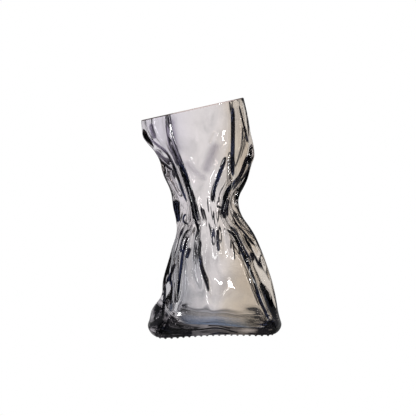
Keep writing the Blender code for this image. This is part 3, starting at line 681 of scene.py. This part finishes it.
def panel_colour(tree, place, drift, across, up, settings):
    """The smooth panels: warmer on the tall side, cooler on the low side with painted shade at its foot,
    swirled, and with soft painted shade along faint creases.
    """
    colour = mix_colour(tree, map_node(tree, drift, *WARM_ACROSS), settings.clear_tint, settings.warm_tint)
    colour = mix_colour(tree, map_node(tree, drift, *COOL_ACROSS), colour, settings.cool_tint)
    swirl = noise_node(tree, place, scale=38.0, detail=3.0, stretch=(1.0, 1.0, 0.6), distortion=1.6)
    # Painted shade at the foot of the low side, broken up by the swirls
    low = multiply(tree, map_node(tree, drift, *LOW_ACROSS), map_node(tree, up, *LOW_UP))
    low = multiply(tree, low, map_node(tree, swirl, *BREAKS_SHOW, to_start=0.35))
    low = multiply(tree, low, map_node(tree, across, *LOW_EDGE, to_start=0.15))
    colour = mix_colour(tree, low, colour, settings.low_shade_tint)
    cloud = map_node(tree, swirl, *CLOUD_SHOWS, to_end=settings.cloud)
    colour = mix_colour(tree, cloud, colour, settings.cloud_tint)
    # Soft painted shade along the faint creases
    return mix_colour(tree, attribute_node(tree, "haze"), colour, settings.soft_shade_tint)


def fold_shade_colour(tree, place, drift, up, settings):
    """The painted shade of the folds: streaked with blue, and paler high up on the low side."""
    streak = noise_node(tree, place, scale=60.0, stretch=(1.0, 1.0, 0.4))
    blue = map_node(tree, streak, *STREAK_SHOWS)
    dark = mix_colour(tree, blue, settings.fold_shade_tint, settings.deep_shade_tint)
    high = multiply(tree, map_node(tree, up, *PALE_FOLDS_UP), map_node(tree, drift, *PALE_FOLDS_ACROSS))
    return mix_colour(tree, multiply(tree, high, PALE_FOLDS_SHARE), dark, settings.soft_shade_tint)


def dark_share(tree, place):
    """How much of the folds' painted shade each place has: in hollows, in creases and, in streaks, at the
    foot.
    """
    # Painted shade in the hollows of the folds and along the creases
    hollow = map_node(tree, attribute_node(tree, "hollow"), *HOLLOW_SHOWS)
    crease = map_node(tree, attribute_node(tree, "crease"), *CREASE_SHOWS)
    foot_streak_noise = noise_node(tree, place, scale=90.0, detail=3.0, stretch=(0.35, 1.0, 2.2), distortion=1.0)
    foot_streaks = map_node(tree, foot_streak_noise, *FOOT_STREAKS_SHOW, to_start=0.55)
    # Painted shade at the foot, broken into streaks
    foot = math_node(tree, "MINIMUM", multiply(tree, attribute_node(tree, "foot"), foot_streaks), 1.0)
    return math_node(tree, "MAXIMUM", math_node(tree, "MAXIMUM", hollow, crease), foot)


def smoke_glass(settings):
    """Clear smoke glass with painted shade in its folds, creases and foot, the mould's slow ripple and a tint
    in depth.
    """
    material = bpy.data.materials.new("smoke glass")
    material.use_nodes = True
    tree = material.node_tree
    shader = tree.nodes["Principled BSDF"]
    output = tree.nodes["Material Output"]
    shader.inputs["Roughness"].default_value = 0.0
    shader.inputs["IOR"].default_value = settings.ior
    shader.inputs["Transmission Weight"].default_value = 1.0

    place, across, _, up = place_nodes(tree)
    drift = math_node(tree, "ADD", across, multiply(tree, noise_node(tree, place, scale=22.0), WANDER))
    panels = panel_colour(tree, place, drift, across, up, settings)
    folds = fold_shade_colour(tree, place, drift, up, settings)
    # The panels' colour, with painted shade in the folds, creases and foot
    tree.links.new(mix_colour(tree, dark_share(tree, place), panels, folds), shader.inputs["Base Color"])

    bump = new_node(tree, "ShaderNodeBump")
    bump.inputs["Distance"].default_value = settings.ripple
    bump.inputs["Strength"].default_value = 1.0
    slow = noise_node(tree, place, scale=42.0, detail=1.0, stretch=(1.0, 1.0, 0.55))
    tree.links.new(slow, bump.inputs["Height"])
    tree.links.new(bump.outputs[0], shader.inputs["Normal"])

    smoke = new_node(tree, "ShaderNodeVolumeAbsorption")
    smoke.inputs["Color"].default_value = (*settings.smoke, 1.0)
    smoke.inputs["Density"].default_value = settings.smoke_density
    tree.links.new(smoke.outputs[0], output.inputs["Volume"])
    return material


def ground_rim(colour, ior):
    """The ground top of the rim: a little cloudy, dark and warm at its ends and pale in the middle."""
    material = bpy.data.materials.new("ground rim")
    material.use_nodes = True
    tree = material.node_tree
    shader = tree.nodes["Principled BSDF"]
    shader.inputs["Roughness"].default_value = 0.28
    shader.inputs["IOR"].default_value = ior
    shader.inputs["Transmission Weight"].default_value = 0.1
    place, across, _, _ = place_nodes(tree)
    grain = multiply(tree, noise_node(tree, place, scale=160.0), RIM_GRAIN)
    ends = math_node(tree, "ABSOLUTE", math_node(tree, "ADD", across, -RIM_MIDDLE))
    middle = map_node(tree, math_node(tree, "ADD", ends, grain), *RIM_ENDS)
    pale = tuple(min(1.0, c * RIM_BRIGHTER + RIM_ADDED) for c in colour)
    tree.links.new(mix_colour(tree, middle, colour, pale), shader.inputs["Base Color"])
    return material


def ray_nodes(tree):
    """Whether a ray comes from the camera, is seen in or through something, and is seen in it only."""
    rays = new_node(tree, "ShaderNodeLightPath")
    through = rays.outputs["Is Transmission Ray"]
    seen = math_node(tree, "MAXIMUM", rays.outputs["Is Glossy Ray"], through)
    return rays.outputs["Is Camera Ray"], seen, math_node(tree, "SUBTRACT", seen, through)


def studio_world(settings):
    """Soft light panels with dark gaps between them, for the glass, before a plain white background."""
    world = bpy.data.worlds.new("studio")
    bpy.context.scene.world = world
    world.use_nodes = True
    tree = world.node_tree
    background = tree.nodes["Background"]
    direction = new_node(tree, "ShaderNodeTexCoord").outputs["Generated"]
    split = new_node(tree, "ShaderNodeSeparateXYZ")
    tree.links.new(direction, split.inputs[0])
    turn = math_node(tree, "ARCTAN2", split.outputs[0], split.outputs[1])
    wave = math_node(tree, "COSINE", multiply(tree, turn, float(PANELS)))
    climb = math_node(tree, "ARCSINE", split.outputs[2])
    ceiling = map_node(tree, climb, CEILING_FROM, CEILING_FULL, to_start=1.0, to_end=CEILING_SHARE)
    studio = multiply(tree, map_node(tree, wave, *PANEL_EDGE), ceiling)
    camera, seen, mirrored = ray_nodes(tree)
    soft = multiply(tree, math_node(tree, "SUBTRACT", 1.0, seen), SOFT_LIGHT)
    share = math_node(tree, "SUBTRACT", seen, multiply(tree, mirrored, 1.0 - settings.sheen_share))
    light = math_node(tree, "ADD", multiply(tree, share, studio), soft)
    light = multiply(tree, math_node(tree, "SUBTRACT", 1.0, camera), light)
    light = math_node(tree, "ADD", camera, light)
    tree.links.new(mix_colour(tree, light, settings.gap_colour, (1.0, 1.0, 1.0)), background.inputs["Color"])


def floor_material(colour, shade, corner_shade):
    """A pale table top that looks white to the camera and in the glass, with the foot's shade under it."""
    material = bpy.data.materials.new("table top")
    material.use_nodes = True
    tree = material.node_tree
    shader = tree.nodes["Principled BSDF"]
    output = tree.nodes["Material Output"]
    shader.inputs["Base Color"].default_value = (*colour, 1.0)
    shader.inputs["Roughness"].default_value = 0.9
    camera, seen, mirrored = ray_nodes(tree)
    place, across, _, _ = place_nodes(tree)
    reach = new_node(tree, "ShaderNodeVectorMath", operation="LENGTH")
    tree.links.new(place, reach.inputs[0])
    lit = math_node(tree, "MAXIMUM", map_node(tree, reach.outputs["Value"], *SHADE_REACH), camera)
    side = map_node(tree, math_node(tree, "ABSOLUTE", across), *CORNER_SHADE_ACROSS)
    under = mix_colour(tree, side, shade, corner_shade)
    white = new_node(tree, "ShaderNodeEmission")
    tree.links.new(mix_colour(tree, lit, under, (1.0, 1.0, 1.0)), white.inputs["Color"])
    strength = math_node(tree, "SUBTRACT", 1.0, multiply(tree, mirrored, MIRRORED_LOSS))
    tree.links.new(strength, white.inputs["Strength"])
    mix = new_node(tree, "ShaderNodeMixShader")
    tree.links.new(math_node(tree, "MAXIMUM", seen, camera), mix.inputs[0])
    tree.links.new(shader.outputs[0], mix.inputs[1])
    tree.links.new(white.outputs[0], mix.inputs[2])
    tree.links.new(mix.outputs[0], output.inputs["Surface"])
    return material


def soft_box(name, place, width, height, power):
    """A lamp with a soft edge, turned towards the middle of the vase."""
    lamp = bpy.data.lights.new(name, "AREA")
    lamp.shape = "RECTANGLE"
    lamp.size = width
    lamp.size_y = height
    lamp.energy = power
    holder = bpy.data.objects.new(name, lamp)
    bpy.context.scene.collection.objects.link(holder)
    holder.location = place
    aim = Vector((0.0, 0.0, HEIGHT / 2)) - Vector(place)
    holder.rotation_euler = aim.to_track_quat("-Z", "Y").to_euler()


class VASE_OT_glass_body(bpy.types.Operator):
    """Makes the glass body with its fine creases, rounded rim and stippled foot"""
    bl_idname = "vase.glass_body"
    bl_label = "Glass body"

    def execute(self, context):
        shape = context.scene.vase_shape
        body = merged_copy("vase", "vase_glass")
        round_rim(body, shape.rim_slope, shape.rim_round)
        mark_outside(body, shape.rim_slope, shape.rim_round + RIM_MARGIN)
        apply_modifier(body, "SUBSURF", levels=2, render_levels=2)
        thin_out(body, UNDERSIDE_HEIGHT, shape.rim_slope, KEPT_SHARE)
        split_along_creases(body, shape.crease_width, SPLIT_REACH)
        press_creases(body, shape.crease_depth, shape.crease_width)
        store_hollows(body)
        store_foot(body)
        glass = context.scene.vase_glass
        body.data.materials.append(smoke_glass(glass))
        body.data.materials.append(ground_rim(shape.rim_colour, glass.ior))
        lift = rim_lift(vertex_array(body.data), shape.rim_slope)
        top = lift.max() - shape.rim_round * GROUND_REACH
        for face in body.data.polygons:
            face.use_smooth = True
            face.material_index = int(all(lift[v] > top for v in face.vertices))
        triangles = sum(len(face.vertices) - 2 for face in body.data.polygons)
        print("glass body triangles:", triangles)
        if triangles >= MOST_TRIANGLES:
            raise RuntimeError("the glass body has too many faces")
        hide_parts("vase")
        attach(body, "root")
        return {"FINISHED"}


class VASE_OT_stage(bpy.types.Operator):
    """Sets up the table top, the studio's light and the camera"""
    bl_idname = "vase.stage"
    bl_label = "Stage"

    def execute(self, context):
        studio = context.scene.vase_studio
        deselect_all()
        bpy.ops.mesh.primitive_circle_add(
            radius=studio.floor_radius, vertices=96, fill_type="NGON", location=(0.0, 0.0, -FLOOR_DROP))
        floor = context.object
        floor.name = "table_top"
        floor.data.materials.append(floor_material(
            studio.floor_colour, studio.shade_colour, studio.corner_shade))
        studio_world(studio)
        for name, place, width, height, setting in LAMPS:
            soft_box(name, place, width, height, getattr(studio, setting))
        view = bpy.data.cameras.new("camera")
        view.lens = studio.lens
        view.sensor_width = SENSOR
        camera = bpy.data.objects.new("camera", view)
        context.scene.collection.objects.link(camera)
        camera.location = CAMERA_PLACE
        camera.rotation_euler = (math.radians(90.0 - CAMERA_DROP), 0.0, 0.0)
        context.scene.camera = camera
        context.scene.view_settings.view_transform = "Standard"
        return {"FINISHED"}


class VASE_PT_sidebar(bpy.types.Panel):
    """Lists the vase's settings, with the buttons that make the glass body and the stage"""
    bl_idname = "VASE_PT_sidebar"
    bl_label = "Crumpled glass vase"
    bl_space_type = "VIEW_3D"
    bl_region_type = "UI"
    bl_category = "Vase"

    def draw(self, context):
        layout = self.layout
        for heading, group, operator in (
            ("Shape", context.scene.vase_shape, None),
            ("Glass", context.scene.vase_glass, VASE_OT_glass_body.bl_idname),
            ("Studio", context.scene.vase_studio, VASE_OT_stage.bl_idname),
        ):
            box = layout.box()
            box.label(text=heading)
            for name in group.__annotations__:
                box.prop(group, name)
            if operator:
                box.operator(operator)


CLASSES = (GlassSettings, ShapeSettings, StudioSettings, VASE_OT_glass_body, VASE_OT_stage, VASE_PT_sidebar)


def register():
    for kind in CLASSES:
        bpy.utils.register_class(kind)
    bpy.types.Scene.vase_glass = bpy.props.PointerProperty(type=GlassSettings)
    bpy.types.Scene.vase_shape = bpy.props.PointerProperty(type=ShapeSettings)
    bpy.types.Scene.vase_studio = bpy.props.PointerProperty(type=StudioSettings)


def unregister():
    del bpy.types.Scene.vase_glass
    del bpy.types.Scene.vase_shape
    del bpy.types.Scene.vase_studio
    for kind in reversed(CLASSES):
        bpy.utils.unregister_class(kind)


def main():
    register()
    bpy.ops.vase.glass_body()
    bpy.ops.vase.stage()


if __name__ == "__main__":
    main()
